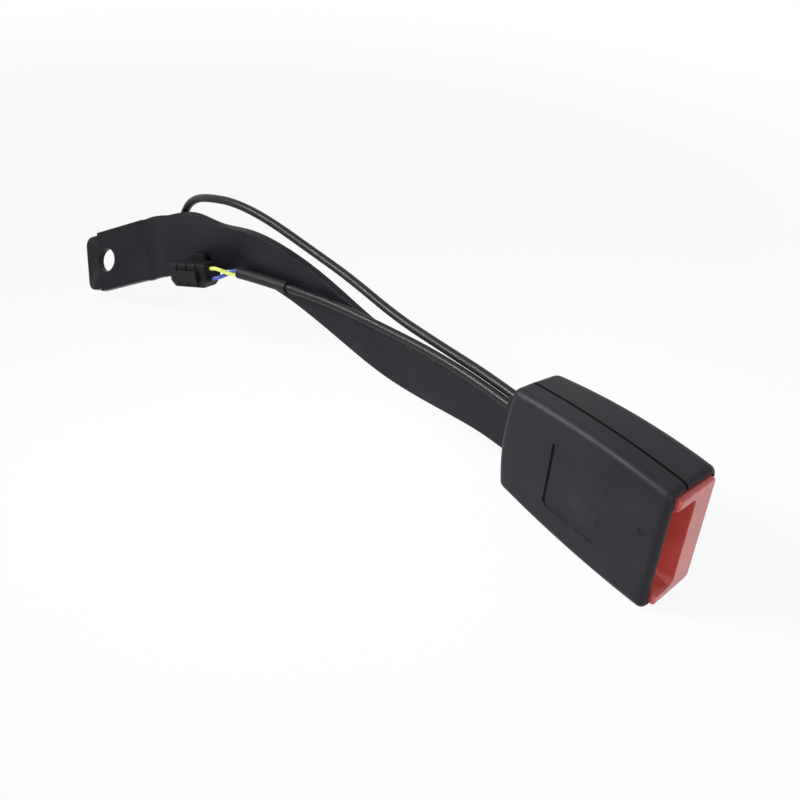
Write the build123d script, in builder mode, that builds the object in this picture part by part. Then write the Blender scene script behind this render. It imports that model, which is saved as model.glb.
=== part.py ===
"""Seat belt buckle on a formed steel stalk, with its belt-status switch lead.

Frame: millimetres, +X from the anchor bolt towards the release button, +Y from the
front cover to the rear cover, +Z across the width of the buckle.
The origin is the centre of the anchor bolt hole.
"""
import math
import os

from build123d import *

os.makedirs("parts", exist_ok=True)

# ---------------------------------------------------------------- stalk and anchor
strap_thick = 3.0
anchor_hole_dia = 10.5
anchor_width = 26.8
anchor_tab_width = 24.4
anchor_tab_start = 5.0
anchor_end = 12.6
anchor_corner_radius = 4.0
anchor_flat_start = -24.0
anchor_down = (-0.786, -0.387, -0.482)
anchor_lean = 29.5

# ---------------------------------------------------------------- buckle head
head_x0 = 226.0
head_len = 68.0
head_x1 = head_x0 + head_len
front_y = 36.0
head_z = 31.4
tail_half = 20.3
middle_half = 23.4
mouth_half = 23.3
tail_thick = 21.2
middle_thick = 24.5
mouth_thick = 25.0
tail_bulge = 2.4
mouth_slant = 3.0
rear_draft = 2.0
seam_y = front_y + 8.5
seam_groove = 0.35
front_wall = 2.8
back_wall = 1.8
side_wall = 2.0
tail_wall = 2.5
front_edge_radius = 3.2
back_edge_radius = 4.5
back_inner_radius = 2.8
tail_radius = 3.4
rim_radius = 2.4

# ---------------------------------------------------------------- front cover details
panel_half_wide = 13.0
panel_half_long = 12.0
panel_x = head_x0 + 33.5
panel_corner = 2.5
panel_depth = 0.3
panel_slit_len = 24.0
panel_slit_width = 0.9
panel_slit_depth = 0.7
pip_x = head_x1 - 6.8
pip_z = head_z + 5.0
pip_dia = 3.2
pip_depth = 0.25
rib_thick = 1.6

# ---------------------------------------------------------------- steel frame
strap_y = 43.5
strap_z = 30.0
strap_end_x = head_x0 + 14.0
strap_bend_x = head_x0 - 4.0
stalk_head_width = 18.0
strap_clearance = 0.3
plate_y = strap_y + strap_thick / 2
plate_thick = 2.0
plate_top_y = plate_y + plate_thick
frame_half = 15.0
frame_x0 = head_x0 + 3.5
frame_x1 = head_x1 - 20.0
frame_corner = 2.0
flange_thick = 2.0
flange_len = 29.0
flange_x1 = frame_x1 - 2.0
flange_x0 = flange_x1 - flange_len
flange_tip_y = plate_y + 8.3
rivet_dia = 6.0
rivet_head_dia = 8.0
rivet_head_high = 1.2
rivet_x = head_x0 + 7.6
rivet_offset = 4.6
window_play = 0.5

# ---------------------------------------------------------------- latch
nose_x1 = frame_x1 - 3.0
nose_x0 = nose_x1 - 4.0
nose_tip_y = plate_y - 2.7
pivot_x = nose_x1 - 23.0
pivot_y = plate_top_y + 3.6
pin_dia = 3.0
pin_fit = 0.05
pin_chamfer = 0.3
pin_end = 0.8
boss_radius = 2.6
boss_half = frame_half - flange_thick - 0.3
arm_half = 6.5
arm_high_y = pivot_y
arm_low_y = arm_high_y - 2.4
nose_ramp = 2.0
nose_rise = 2.8
ear_x = pivot_x + 14.0
ear_radius = 1.1
ear_y = arm_high_y - ear_radius
ear_half = 12.0
latch_spring_x = pivot_x + 10.0
latch_spring_len = 4.45
latch_spring_dia = 4.4
latch_spring_bore = 3.0
spring_seat_dia = 7.0
spring_air = 0.2

# ---------------------------------------------------------------- release button
button_back_x = head_x1 - 15.0
button_proud = 1.6
button_gap = 0.4
button_front_radius = 1.0
button_back_radius = 2.4
button_edge_radius = 0.9
recess_y0 = front_y + 2.4
recess_y1 = front_y + 13.2
recess_half = 17.8
recess_depth = 8.8
recess_radius = 2.2
slot_y0 = 41.2
slot_y1 = 46.2
slot_half = 13.0
slot_lead_in = 1.5
rail_inner = 8.2
rail_outer = 11.6
rail_low_y = plate_top_y + 0.2
rail_high_y = plate_top_y + 3.2
ramp_angle = 26.0
ramp_reach = 1.54
button_spring_y = plate_top_y + 5.6
button_spring_offset = frame_half + 2.2
button_spring_dia = 3.6
button_spring_wall = 0.6
button_spring_air = 0.3
spring_seat_x = frame_x1 - 4.0
spring_pocket_x = head_x1 - 8.0
spring_post_thick = 2.0
spring_post_half = 2.2

# ---------------------------------------------------------------- ejector
ejector_len = 12.8
ejector_x0 = head_x0 + 26.0
ejector_x1 = ejector_x0 + ejector_len
ejector_half = 9.0
ejector_y0 = front_y + front_wall + 0.3
ejector_y1 = plate_y - 0.2
ejector_corner = 1.2
ejector_travel = 10.0
ejector_spring_dia = 3.4
ejector_spring_wall = 0.5
ejector_spring_air = 0.2
ejector_spring_y = strap_y - 0.9
ejector_pocket_x = ejector_x0 + 10.0
keel_half = 1.9
keel_x0 = ejector_x0 + 4.0
keel_x1 = keel_x0 + 6.0
keel_play = 0.2
spring_stop_thick = 1.6
spring_stop_half = 4.0

# ---------------------------------------------------------------- belt-status switch
switch_x0 = head_x0 + 18.0
switch_len = 12.0
switch_z0 = strap_z + 11.2
switch_tall = 6.0
switch_y0 = front_y + front_wall
switch_y1 = plate_y - 0.3
switch_corner = 0.6
switch_pin_dia = 1.8
switch_pin_inset = 2.5
switch_pin_depth = 2.0
blade_wide = 1.2
blade_thick = 1.1
blade_drop = 0.2
lever_thick = 0.4
lever_wide = 2.4
lever_root = 1.0
lever_root_len = 2.0
lever_tip = 10.2
lever_air = 0.3

# ---------------------------------------------------------------- lead
cable_dia = 3.4
sleeve_dia = 4.7
wire_dia = 1.6
wire_entry_gap = 0.4
cable_inner_x = head_x0 + 13.6
lead_a_y = 40.6
lead_a_z = 41.0
lead_b_y = 43.2
lead_b_z = 43.3
grommet_y0 = 38.2
grommet_y1 = 45.9
grommet_z0 = 39.1
grommet_z1 = 45.6
grommet_proud = 0.8
grommet_len = 4.8
grommet_edge = 0.5

# ---------------------------------------------------------------- connector
connector_place = 0.822
housing_low = (-16.0, -11.2, -11.0)
housing_high = (-6.0, -3.7, 11.0)
housing_corner = 2.6
housing_edge = 0.8
housing_grooves = (-6.0, 0.0, 6.0)
groove_half = 0.6
groove_deep = 0.5
cavity_places = (-13.2, -8.8)
cavity_half = 1.0
cavity_back = -7.5
cavity_depth = 4.0
lock_half = 2.4
lock_middle = -11.0
lock_high = 1.8
lock_thick = 0.8
lock_foot = 2.5
lock_barb = 1.4
lock_start = -7.0
lock_end = 8.0
terminal_half = 0.4
terminal_len = 3.6
clip_half = 3.5
clip_leg_in = strap_thick / 2 + 0.75
clip_leg_out = 3.7
clip_reach = -3.0
clip_web_gap = 0.9
clip_web_thick = 1.4
boot_wide = -5.8
boot_back = 5.0
boot_mouth = 4.5
boot_dia = 5.4
boot_stop = -1.0


def across(x):
    """Plane square to the long axis at x: its x runs along +Y and its y along +Z."""
    return Plane(origin=(x, 0, 0), x_dir=(0, 1, 0), z_dir=(1, 0, 0))


def facing_front(y):
    """Plane parallel to the front face at depth y: its x runs along +Z and its y along +X."""
    return Plane(origin=(0, y, 0), x_dir=(0, 0, 1), z_dir=(0, 1, 0))


def block(low, high):
    """Solid box between two corners."""
    size = [b - a for a, b in zip(low, high)]
    middle = [(a + b) / 2 for a, b in zip(low, high)]
    return Pos(*middle) * Box(*size, mode=Mode.PRIVATE)


def rod(start, direction, radius, length):
    """Solid cylinder from a point along a direction."""
    return Plane(origin=start, z_dir=direction) * Cylinder(
        radius, length, align=(Align.CENTER, Align.CENTER, Align.MIN), mode=Mode.PRIVATE
    )


def coil_sleeve(start, direction, diameter, wall, length):
    """Plain tube that stands for a wound spring."""
    with BuildPart(mode=Mode.PRIVATE) as tube:
        add(rod(start, direction, diameter / 2, length))
        add(rod(start, direction, diameter / 2 - wall, length), mode=Mode.SUBTRACT)
    return tube.part


def save(part, name):
    """Writes one named piece."""
    part.label = name
    export_step(part, "parts/" + name + ".step")


# ---------------------------------------------------------------- stalk strap
# The blank runs straight out of the head, dips, rises and then turns down and
# towards the front into the anchor plate, which leans back.
anchor_axis = Vector(*anchor_down).normalized()
strap_points = [
    (strap_bend_x, strap_y, strap_z),
    (190.0, 42.8, 26.9),
    (154.0, 39.9, 24.3),
    (119.0, 35.5, 30.0),
    (84.0, 28.4, 33.9),
    (50.0, 19.8, 26.4),
    tuple(anchor_axis * anchor_flat_start),
]
strap_line = Spline(*strap_points, tangents=[(-1, 0, 0), anchor_axis])
# width and lean back of the blank at even parts of its length, from the head on
width_marks = [stalk_head_width] * 7 + [
    18.7, 19.5, 20.1, 20.6, 20.4, 19.8, 25.0, 27.0, 27.0, anchor_width
]
lean_marks = [0.0, 0.0, 0.0, 1.0, 0.0, -3.0, -5.0, 14.0, anchor_lean]
strap_sections = len(width_marks)
rivet_places = [(rivet_x, strap_z + side * rivet_offset) for side in (-1, 1)]


def between_marks(marks, t):
    """Smooth value between even marks for t from 0 to 1."""
    place = t * (len(marks) - 1)
    index = min(int(place), len(marks) - 2)
    part = place - index
    ease = part * part * (3 - 2 * part)
    return marks[index] + (marks[index + 1] - marks[index]) * ease


def strap_plane(t):
    """Section plane of the strap: x across the width, y through its rear face."""
    along = (strap_line % t).normalized()
    up = Vector(0, 0, 1)
    wide = (up - along * up.dot(along)).normalized()
    wide = wide.rotate(Axis((0, 0, 0), along), between_marks(lean_marks, t))
    return Plane(origin=strap_line @ t, x_dir=wide, z_dir=along)


anchor_plane = strap_plane(1.0)

with BuildPart() as stalk_strap:
    for step in range(strap_sections):
        t = step / (strap_sections - 1)
        with BuildSketch(strap_plane(t)):
            Rectangle(between_marks(width_marks, t), strap_thick)
    loft()
    add(block(
        (strap_bend_x, strap_y - strap_thick / 2, strap_z - stalk_head_width / 2),
        (strap_end_x, strap_y + strap_thick / 2, strap_z + stalk_head_width / 2),
    ))
    with BuildSketch(anchor_plane):
        Rectangle(anchor_width, strap_thick)
    extrude(amount=anchor_tab_start - anchor_flat_start)
    with BuildSketch(anchor_plane.offset(anchor_tab_start - anchor_flat_start)):
        Rectangle(anchor_tab_width, strap_thick)
    extrude(amount=anchor_end - anchor_tab_start)
    corners = stalk_strap.edges().filter_by(lambda e: abs(e.length - strap_thick) < 0.01)
    fillet(corners.sort_by(Axis((0, 0, 0), anchor_down))[-2:], anchor_corner_radius)
    add(rod(
        anchor_plane.y_dir * (-strap_thick), anchor_plane.y_dir, anchor_hole_dia / 2, 2 * strap_thick
    ), mode=Mode.SUBTRACT)
    for place_x, place_z in rivet_places:
        add(rod(
            (place_x, strap_y - strap_thick, place_z), (0, 1, 0), rivet_dia / 2, 2 * strap_thick
        ), mode=Mode.SUBTRACT)
save(stalk_strap.part, "stalk_strap")


# ---------------------------------------------------------------- covers
def head_half(keep_front, front=0.0, side=0.0, back=0.0, tail=0.0, mouth=0.0):
    """Crowned block of one half of the head, its faces moved in by the walls given.

    mouth moves the slanted end out.
    """
    middle_x = (head_x0 + head_x1) / 2
    tail_x = head_x0 + tail
    tail_tip_x = tail_x - tail_bulge
    mouth_x = head_x1 + mouth
    reach = tail_thick if keep_front else mouth_thick + 1
    with BuildPart(mode=Mode.PRIVATE) as form:
        # plan view of the barrel-shaped sides and the bulging tail
        with BuildSketch(facing_front(seam_y)):
            with BuildLine():
                ThreePointArc(
                    (head_z - tail_half + side, tail_x),
                    (head_z, tail_tip_x),
                    (head_z + tail_half - side, tail_x),
                )
                ThreePointArc(
                    (head_z + tail_half - side, tail_x),
                    (head_z + middle_half - side, middle_x),
                    (head_z + mouth_half - side, mouth_x),
                )
                Line((head_z + mouth_half - side, mouth_x), (head_z - mouth_half + side, mouth_x))
                ThreePointArc(
                    (head_z - mouth_half + side, mouth_x),
                    (head_z - middle_half + side, middle_x),
                    (head_z - tail_half + side, tail_x),
                )
            make_face()
        if keep_front:
            extrude(amount=-reach)
        else:
            extrude(amount=reach, taper=rear_draft)
        # side view of the flat front, the slanted mouth and the crowned rear
        with BuildSketch(Plane.XY.offset(head_z)):
            with BuildLine():
                Polyline(
                    (tail_tip_x - 1, front_y + tail_thick - back),
                    (tail_tip_x - 1, front_y + front),
                    (mouth_x, front_y + front),
                    (mouth_x - mouth_slant, front_y + mouth_thick - back),
                )
                ThreePointArc(
                    (mouth_x - mouth_slant, front_y + mouth_thick - back),
                    (middle_x, front_y + middle_thick - back),
                    (tail_tip_x - 1, front_y + tail_thick - back),
                )
            make_face()
        extrude(amount=2 * mouth_half, both=True, mode=Mode.INTERSECT)
    return form.part


def off_seam(edge):
    """True for an edge away from the parting line."""
    return abs(edge.center().Y - seam_y) > 0.01


def cover_shell(keep_front):
    """One half of the moulded head: rounded walls, open mouth, strap and lead openings."""
    with BuildPart(mode=Mode.PRIVATE) as shell:
        add(head_half(keep_front))
        outer_face = shell.faces().sort_by(Axis.Y)[0 if keep_front else -1]
        long_edges = outer_face.edges().filter_by(lambda e: abs((e % 0.5).X) > 0.9)
        fillet(long_edges, front_edge_radius if keep_front else back_edge_radius)
        tail_face = shell.faces().sort_by(Axis.X)[0]
        fillet(tail_face.edges().filter_by(off_seam), tail_radius)
        mouth_face = shell.faces().sort_by(Axis.X)[-1]
        fillet(mouth_face.edges().filter_by(off_seam), rim_radius)
        # half of the groove along the parting line
        seam_face = shell.faces().filter_by(Axis.Y).sort_by(Axis.Y)[-1 if keep_front else 0]
        chamfer(seam_face.edges(), seam_groove)
        with BuildPart(mode=Mode.PRIVATE) as hollow:
            add(head_half(keep_front, front_wall, side_wall, back_wall, tail_wall, 2 * tail_wall))
            if not keep_front:
                inner_face = hollow.faces().sort_by(Axis.Y)[-1]
                long_edges = inner_face.edges().filter_by(lambda e: e.length > head_len / 2 + 2)
                fillet(long_edges.sort_by(Axis.Z)[0], back_inner_radius)
                inner_face = hollow.faces().sort_by(Axis.Y)[-1]
                long_edges = inner_face.edges().filter_by(lambda e: e.length > head_len / 2 + 2)
                fillet(long_edges.sort_by(Axis.Z)[-1], back_inner_radius)
        add(hollow.part, mode=Mode.SUBTRACT)
        # opening in the tail wall for the strap
        add(block(
            (
                head_x0 - tail_bulge - 1,
                strap_y - strap_thick / 2,
                strap_z - stalk_head_width / 2 - strap_clearance,
            ),
            (head_x0 + tail_wall + 1, strap_y + strap_thick / 2, grommet_z0),
        ), mode=Mode.SUBTRACT)
        # notch that holds the lead grommet
        add(block(
            (head_x0 - tail_bulge - 1, grommet_y0, grommet_z0),
            (head_x0 + tail_wall + 1, grommet_y1, grommet_z1),
        ), mode=Mode.SUBTRACT)
    return shell.part


with BuildPart() as front_cover:
    add(cover_shell(True))
    inner_y = front_y + front_wall
    for side in (-1, 1):
        middle = head_z + side * (frame_half - flange_thick / 2)
        # ribs that the frame plate lies on, clear of the tongue's width
        add(block(
            (frame_x1 - 16, inner_y - 0.5, middle - rib_thick / 2), (frame_x1, plate_y, middle + rib_thick / 2)
        ))
    # seat of the ejector spring beside the end of the strap
    add(block(
        (strap_end_x - spring_stop_thick, inner_y - 0.5, strap_z - spring_stop_half),
        (strap_end_x, strap_y - strap_thick / 2, strap_z + spring_stop_half),
    ))
    # shallow square panel with a deeper slit along its tail side
    with BuildSketch(facing_front(front_y)):
        with Locations((head_z, panel_x)):
            RectangleRounded(2 * panel_half_wide, 2 * panel_half_long, panel_corner)
    extrude(amount=panel_depth, mode=Mode.SUBTRACT)
    with BuildSketch(facing_front(front_y)):
        with Locations((head_z, panel_x - panel_half_long)):
            SlotOverall(panel_slit_len, panel_slit_width)
    extrude(amount=panel_slit_depth, mode=Mode.SUBTRACT)
    with BuildSketch(facing_front(front_y)):
        with Locations((pip_z, pip_x)):
            Circle(pip_dia / 2)
    extrude(amount=pip_depth, mode=Mode.SUBTRACT)
save(front_cover.part, "front_cover")

with BuildPart() as rear_cover:
    add(cover_shell(False))
    with BuildPart(mode=Mode.PRIVATE) as inside:
        for side in (-1, 1):
            middle = head_z + side * (frame_half - flange_thick / 2)
            # ribs that press on the tips of the frame's flanges
            add(block(
                (flange_x0 + 3, flange_tip_y, middle - rib_thick / 2),
                (flange_x1 - 4, front_y + mouth_thick, middle + rib_thick / 2),
            ))
            # posts behind the button springs
            middle = head_z + side * button_spring_offset
            add(block(
                (spring_seat_x - spring_post_thick, button_spring_y - spring_post_half, middle - spring_post_half),
                (spring_seat_x, front_y + mouth_thick, middle + spring_post_half),
            ))
        # seat of the latch spring
        add(rod(
            (latch_spring_x, arm_high_y + latch_spring_len, head_z), (0, 1, 0), spring_seat_dia / 2, mouth_thick
        ))
        add(head_half(False, side=back_wall / 2, back=back_wall / 2, tail=1.0), mode=Mode.INTERSECT)
    add(inside.part)
save(rear_cover.part, "rear_cover")

# ---------------------------------------------------------------- steel frame
with BuildPart() as buckle_frame:
    with BuildSketch(facing_front(plate_y)):
        with Locations((head_z, (frame_x0 + frame_x1) / 2)):
            RectangleRounded(2 * frame_half, frame_x1 - frame_x0, frame_corner)
    extrude(amount=plate_thick)
    for side in (-1, 1):
        z0, z1 = sorted((head_z + side * (frame_half - flange_thick), head_z + side * frame_half))
        add(block((flange_x0, plate_y, z0), (flange_x1, flange_tip_y, z1)))
    # window for the latch nose
    add(block(
        (nose_x0 - window_play, plate_y - 1, head_z - arm_half - window_play),
        (nose_x1 + window_play, plate_top_y + 1, head_z + arm_half + window_play),
    ), mode=Mode.SUBTRACT)
    # guide slot for the ejector's keel
    add(block(
        (keel_x0 - ejector_travel - 2 * keel_play, plate_y - 1, strap_z - keel_half - keel_play),
        (keel_x1 + 2 * keel_play, plate_top_y + 1, strap_z + keel_half + keel_play),
    ), mode=Mode.SUBTRACT)
    # rivet holes, and the bore for the latch pin
    for place_x, place_z in rivet_places:
        add(rod((place_x, plate_y - 1, place_z), (0, 1, 0), rivet_dia / 2, plate_thick + 2), mode=Mode.SUBTRACT)
    add(rod(
        (pivot_x, pivot_y, head_z - frame_half - 1), (0, 0, 1), pin_dia / 2, 2 * frame_half + 2
    ), mode=Mode.SUBTRACT)
save(buckle_frame.part, "buckle_frame")

with BuildPart() as strap_rivets:
    for place_x, place_z in rivet_places:
        add(rod(
            (place_x, strap_y - strap_thick / 2, place_z), (0, 1, 0), rivet_dia / 2, strap_thick + plate_thick
        ))
        add(rod((place_x, plate_top_y, place_z), (0, 1, 0), rivet_head_dia / 2, rivet_head_high))
        add(rod(
            (place_x, strap_y - strap_thick / 2, place_z), (0, -1, 0), rivet_head_dia / 2, rivet_head_high
        ))
    round_edges = strap_rivets.edges().filter_by(GeomType.CIRCLE).sort_by(Axis.Y)
    fillet(round_edges[:2] + round_edges[-2:], rivet_head_high / 2)
save(strap_rivets.part, "strap_rivets")

with BuildPart() as latch_pin:
    add(rod(
        (pivot_x, pivot_y, head_z - frame_half - pin_end), (0, 0, 1), pin_dia / 2, 2 * (frame_half + pin_end)
    ))
    chamfer(latch_pin.edges().filter_by(GeomType.CIRCLE), pin_chamfer)
save(latch_pin.part, "latch_pin")

# ---------------------------------------------------------------- latch
with BuildPart() as latch_pawl:
    with BuildSketch(Plane.XY.offset(head_z - arm_half)):
        with BuildLine():
            Polyline(
                (pivot_x, arm_low_y),
                (nose_x0 - 0.6, arm_low_y),
                (nose_x0, arm_low_y - 0.8),
                (nose_x0, nose_tip_y + 0.6),
                (nose_x0 + 0.8, nose_tip_y),
                (nose_x1 - nose_ramp, nose_tip_y),
                (nose_x1, nose_tip_y + nose_rise),
                (nose_x1, arm_high_y),
                (pivot_x, arm_high_y),
                close=True,
            )
        make_face()
    extrude(amount=2 * arm_half)
    add(rod((pivot_x, pivot_y, head_z - boss_half), (0, 0, 1), boss_radius, 2 * boss_half))
    # ears that the button's ramps lift
    add(rod((ear_x, ear_y, head_z - ear_half), (0, 0, 1), ear_radius, 2 * ear_half))
    add(rod(
        (pivot_x, pivot_y, head_z - boss_half - 1), (0, 0, 1), pin_dia / 2 + pin_fit, 2 * boss_half + 2
    ), mode=Mode.SUBTRACT)
save(latch_pawl.part, "latch_pawl")

latch_spring = coil_sleeve(
    (latch_spring_x, arm_high_y, head_z),
    (0, 1, 0),
    latch_spring_dia,
    (latch_spring_dia - latch_spring_bore) / 2,
    latch_spring_len - spring_air,
)
save(latch_spring, "latch_spring")

# ---------------------------------------------------------------- release button
with BuildPart() as release_button:
    for keep_front in (True, False):
        add(head_half(
            keep_front,
            front_wall + button_gap,
            side_wall + button_gap,
            back_wall + button_gap,
            0.0,
            button_proud,
        ))
    add(block(
        (head_x0 - 2 * tail_wall, 0, head_z - 2 * mouth_half),
        (button_back_x, 4 * mouth_thick, head_z + 2 * mouth_half),
    ), mode=Mode.SUBTRACT)
    long_edges = release_button.faces().sort_by(Axis.Y)[0].edges().filter_by(
        lambda e: abs((e % 0.5).X) > 0.9
    )
    fillet(long_edges, button_front_radius)
    long_edges = release_button.faces().sort_by(Axis.Y)[-1].edges().filter_by(
        lambda e: abs((e % 0.5).X) > 0.9
    )
    fillet(long_edges, button_back_radius)
    fillet(release_button.faces().sort_by(Axis.X)[-1].edges(), button_edge_radius)
    # recess that leads the tongue in, open to the front and narrowing towards its slot
    face_x = head_x1 + button_proud
    with BuildSketch(across(face_x)):
        with Locations(((recess_y0 + recess_y1) / 2, head_z)):
            RectangleRounded(recess_y1 - recess_y0, 2 * recess_half, recess_radius)
    with BuildSketch(across(head_x1 - recess_depth)):
        with Locations(((slot_y0 + slot_y1) / 2, head_z)):
            RectangleRounded(slot_y1 - slot_y0 + 0.8, 2 * (slot_half + slot_lead_in), recess_radius)
    loft(mode=Mode.SUBTRACT)
    add(block(
        (button_back_x - 1, slot_y0, head_z - slot_half),
        (head_x1 - recess_depth + 0.5, slot_y1, head_z + slot_half),
    ), mode=Mode.SUBTRACT)
    for side in (-1, 1):
        middle = head_z + side * button_spring_offset
        add(rod(
            (button_back_x - 1, button_spring_y, middle),
            (1, 0, 0),
            button_spring_dia / 2 + button_spring_air,
            spring_pocket_x - button_back_x + 1,
        ), mode=Mode.SUBTRACT)
    # rails with the ramps under the latch's ears
    ramp_start = ear_x - ramp_reach
    ramp_end = ramp_start + (rail_high_y - rail_low_y) / math.tan(math.radians(ramp_angle))
    for side in (-1, 1):
        z0, z1 = sorted((head_z + side * rail_inner, head_z + side * rail_outer))
        with BuildSketch(Plane.XY.offset(z0)):
            with BuildLine():
                Polyline(
                    (ramp_start, rail_low_y),
                    (button_back_x + 0.5, rail_low_y),
                    (button_back_x + 0.5, rail_high_y),
                    (ramp_end, rail_high_y),
                    close=True,
                )
            make_face()
        extrude(amount=z1 - z0)
save(release_button.part, "release_button")

for side, word in ((-1, "low"), (1, "high")):
    button_spring = coil_sleeve(
        (spring_seat_x, button_spring_y, head_z + side * button_spring_offset),
        (1, 0, 0),
        button_spring_dia,
        button_spring_wall,
        spring_pocket_x - spring_seat_x,
    )
    save(button_spring, "button_spring_" + word)

# ---------------------------------------------------------------- ejector
with BuildPart() as ejector:
    add(block(
        (ejector_x0, ejector_y0, strap_z - ejector_half), (ejector_x1, ejector_y1, strap_z + ejector_half)
    ))
    fillet(ejector.edges().filter_by(Axis.Y), ejector_corner)
    add(block(
        (keel_x0, ejector_y1 - 0.5, strap_z - keel_half),
        (keel_x1, plate_top_y - keel_play, strap_z + keel_half),
    ))
    add(rod(
        (ejector_x0 - 1, ejector_spring_y, strap_z),
        (1, 0, 0),
        ejector_spring_dia / 2 + ejector_spring_air,
        ejector_pocket_x - ejector_x0 + 1,
    ), mode=Mode.SUBTRACT)
save(ejector.part, "ejector")

ejector_spring = coil_sleeve(
    (strap_end_x, ejector_spring_y, strap_z),
    (1, 0, 0),
    ejector_spring_dia,
    ejector_spring_wall,
    ejector_pocket_x - strap_end_x,
)
save(ejector_spring, "ejector_spring")

# ---------------------------------------------------------------- belt-status switch
with BuildPart() as switch_body:
    add(block((switch_x0, switch_y0, switch_z0), (switch_x0 + switch_len, switch_y1, switch_z0 + switch_tall)))
    fillet(switch_body.edges().filter_by(Axis.Y), switch_corner)
    for pin_x in (switch_x0 + switch_pin_inset, switch_x0 + switch_len - switch_pin_inset):
        add(rod(
            (pin_x, switch_y0 + switch_pin_depth, switch_z0 + switch_tall / 2),
            (0, 1, 0),
            switch_pin_dia / 2,
            switch_y1 - switch_y0,
        ), mode=Mode.SUBTRACT)
save(switch_body.part, "switch_body")

with BuildPart() as switch_terminals:
    for blade_y, blade_z in ((lead_a_y, lead_a_z + 0.5), (lead_b_y, lead_b_z)):
        add(block(
            (cable_inner_x, blade_y - blade_wide / 2, blade_z - blade_drop),
            (switch_x0, blade_y + blade_wide / 2, blade_z - blade_drop + blade_thick),
        ))
save(switch_terminals.part, "switch_terminals")

with BuildPart() as switch_lever:
    tip_z = strap_z + ejector_half + lever_air
    with BuildSketch(facing_front(lead_a_y + 0.8)):
        with BuildLine():
            Polyline(
                (switch_z0, switch_x0 + lever_root),
                (switch_z0, switch_x0 + lever_root + lever_root_len),
                (tip_z + lever_thick, switch_x0 + lever_tip),
                (tip_z, switch_x0 + lever_tip - lever_thick / 2),
                (switch_z0 - lever_thick, switch_x0 + lever_root + lever_root_len - lever_thick),
                (switch_z0 - lever_thick, switch_x0 + lever_root),
                close=True,
            )
        make_face()
    extrude(amount=lever_wide)
save(switch_lever.part, "switch_lever")

# ---------------------------------------------------------------- lead
with BuildPart() as lead_grommet:
    grommet_x0 = head_x0 - tail_bulge - grommet_proud
    add(block(
        (grommet_x0, grommet_y0, grommet_z0), (grommet_x0 + grommet_len, grommet_y1, grommet_z1)
    ))
    fillet(lead_grommet.faces().sort_by(Axis.X)[0].edges(), grommet_edge)
    for hole_y, hole_z in ((lead_a_y, lead_a_z), (lead_b_y, lead_b_z)):
        add(rod(
            (grommet_x0 - 1, hole_y, hole_z), (1, 0, 0), cable_dia / 2, grommet_len + 2
        ), mode=Mode.SUBTRACT)
save(lead_grommet.part, "lead_grommet")


def route_radii(points):
    """Arc radius at each inner point of a route, as large as its two runs allow."""
    radii = []
    for before, here, after in zip(points, points[1:], points[2:]):
        run_in = Vector(*here) - Vector(*before)
        run_out = Vector(*after) - Vector(*here)
        half_turn = math.radians(run_in.get_angle(run_out) / 2)
        radii.append(0.45 * min(run_in.length, run_out.length) / math.tan(half_turn))
    return radii


def cord(points, diameter, name):
    """Round cord along a route of straight runs and tangent arcs."""
    radii = route_radii(points)
    with BuildPart() as tube:
        with BuildLine() as line:
            FilletPolyline(*points, radius=radii)
        start = Vector(*points[0])
        with BuildSketch(Plane(origin=start, z_dir=Vector(*points[1]) - start)):
            Circle(diameter / 2)
        sweep()
    print(name, "length", round(line.wire().length, 1), "radii", [round(radius, 1) for radius in radii])
    save(tube.part, name)


# the switch lead: out of the tail, along the strap's upper edge and over its face
sleeve_start = (104.4, 28.608, 30.007)
lead_a_points = [
    (cable_inner_x, lead_a_y, lead_a_z),
    (212.0, lead_a_y, lead_a_z),
    (184.0, 39.1, 39.9),
    (156.0, 37.0, 36.6),
    (130.0, 33.2, 34.3),
    (110.0, 29.7, 31.0),
    sleeve_start,
]
cord(lead_a_points, cable_dia, "lead_a")

sleeve_points = [sleeve_start, (88.0, 25.41, 27.1), (77.0, 22.7, 24.92)]
cord(sleeve_points, sleeve_dia, "lead_a_sleeve")

# the second lead: above the strap's edge, over its bend and down behind it
connector_plane = strap_plane(connector_place)


def beside_strap(wide, back, along):
    """Point given across the strap, behind it and along it from the connector."""
    return tuple(connector_plane.from_local_coords(Vector(wide, back, along)))


lead_b_points = [
    (cable_inner_x, lead_b_y, lead_b_z),
    (212.0, lead_b_y, lead_b_z),
    (184.0, 43.0, 41.3),
    (158.0, 41.6, 40.7),
    (131.0, 39.3, 44.6),
    (108.0, 35.8, 47.2),
    (84.0, 31.0, 50.9),
    (66.0, 26.9, 51.1),
    (50.0, 25.1, 46.6),
    (38.5, 25.0, 41.6),
    (31.4, 24.4, 35.8),
    (29.0, 22.8, 28.4),
    (31.8, 21.6, 21.6),
    (38.4, 21.0, 17.4),
    beside_strap(boot_wide, boot_back, boot_mouth),
    beside_strap(boot_wide, boot_back, boot_stop),
]
cord(lead_b_points, cable_dia, "lead_b")

# ---------------------------------------------------------------- connector
# every size here is across the strap, behind it (negative is in front) and along it
with BuildPart() as connector_housing:
    add(block(housing_low, housing_high))
    chamfer(connector_housing.edges().filter_by(Axis.Y).group_by(Axis.X)[0], housing_corner)
    fillet(connector_housing.edges().filter_by(Axis.Z), housing_edge)
    # grooves between the moulded ribs
    for place in housing_grooves:
        add(block(
            (housing_low[0] - 1, housing_low[1] - 1, place - groove_half),
            (housing_high[0] + 1, housing_low[1] + groove_deep, place + groove_half),
        ), mode=Mode.SUBTRACT)
    # terminal cavities in the mating end
    for wide in cavity_places:
        add(block(
            (wide - cavity_half, cavity_back - cavity_half, housing_high[2] - cavity_depth),
            (wide + cavity_half, cavity_back + cavity_half, housing_high[2] + 1),
        ), mode=Mode.SUBTRACT)
save(connector_plane * connector_housing.part, "connector_housing")

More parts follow.
